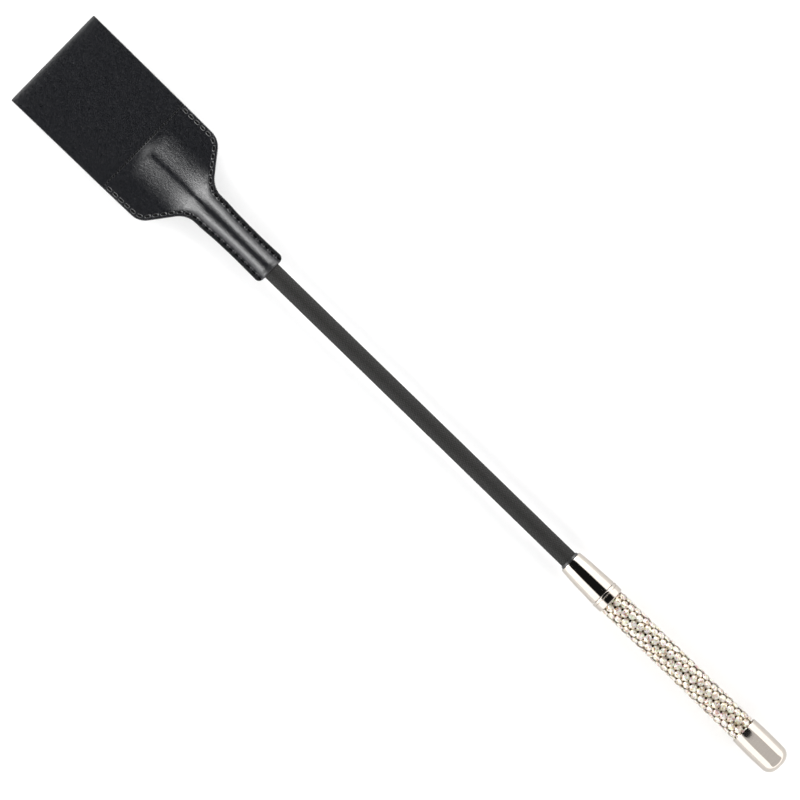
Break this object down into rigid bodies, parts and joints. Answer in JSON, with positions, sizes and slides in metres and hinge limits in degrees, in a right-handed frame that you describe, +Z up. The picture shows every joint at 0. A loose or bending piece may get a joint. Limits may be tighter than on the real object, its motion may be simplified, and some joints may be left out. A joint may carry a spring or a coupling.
{
  "type": "riding crop",
  "caption": "Short riding crop: wide folded leather flap sewn over a braided shaft, with a polished collar, a grip set with small crystals and a rounded end cap.",
  "frame": {"origin": "on the surface the crop lies on, below the middle of its length and width", "axes": "+X along the shaft from the flap to the handle, +Y across the flap, +Z up from the surface the crop lies on"},
  "size_m": [0.6, 0.0702, 0.0187],
  "materials": {
    "flap_leather": "black leather, fine grain, semi-matt",
    "seam_thread": "waxed polyester thread",
    "shaft_braid": "tight charcoal braid",
    "glass_fibre": "pultruded glass-fibre rod",
    "black_plastic": "moulded, semi-matt",
    "grey_plastic": "extruded or moulded, hidden",
    "polished_nickel": "polished nickel plate",
    "crystal_stones": "foil-backed glass crystals on a black backing"
  },
  "bodies": {
    "crop_body": {"yoke_front": "flap_leather", "yoke_back": "flap_leather", "cross_thread_front": "seam_thread", "cross_thread_back": "seam_thread", "edge_thread_left_front": "seam_thread", "edge_thread_left_back": "seam_thread", "edge_thread_right_front": "seam_thread", "edge_thread_right_back": "seam_thread", "rod_core": "glass_fibre", "rod_jacket": "grey_plastic", "rod_boot": "black_plastic", "braid_sleeve": "shaft_braid", "collar_bush": "black_plastic", "collar": "polished_nickel", "collar_ring": "polished_nickel", "handle_core": "grey_plastic", "handle_sleeve": "black_plastic", "crystal_band": "crystal_stones", "end_plug": "grey_plastic", "end_cap": "polished_nickel"},
    "flap": {"flap_loop": "flap_leather"}
  },
  "joints": [
    {"name": "flap_flex", "type": "hinge", "parent": "crop_body", "child": "flap", "pos_m": [-0.2277, 0, 0.00936], "axis": [0, 1, 0], "range_deg": [-55, 65], "stiffness_Nm_per_rad": 0.5}
  ]
}
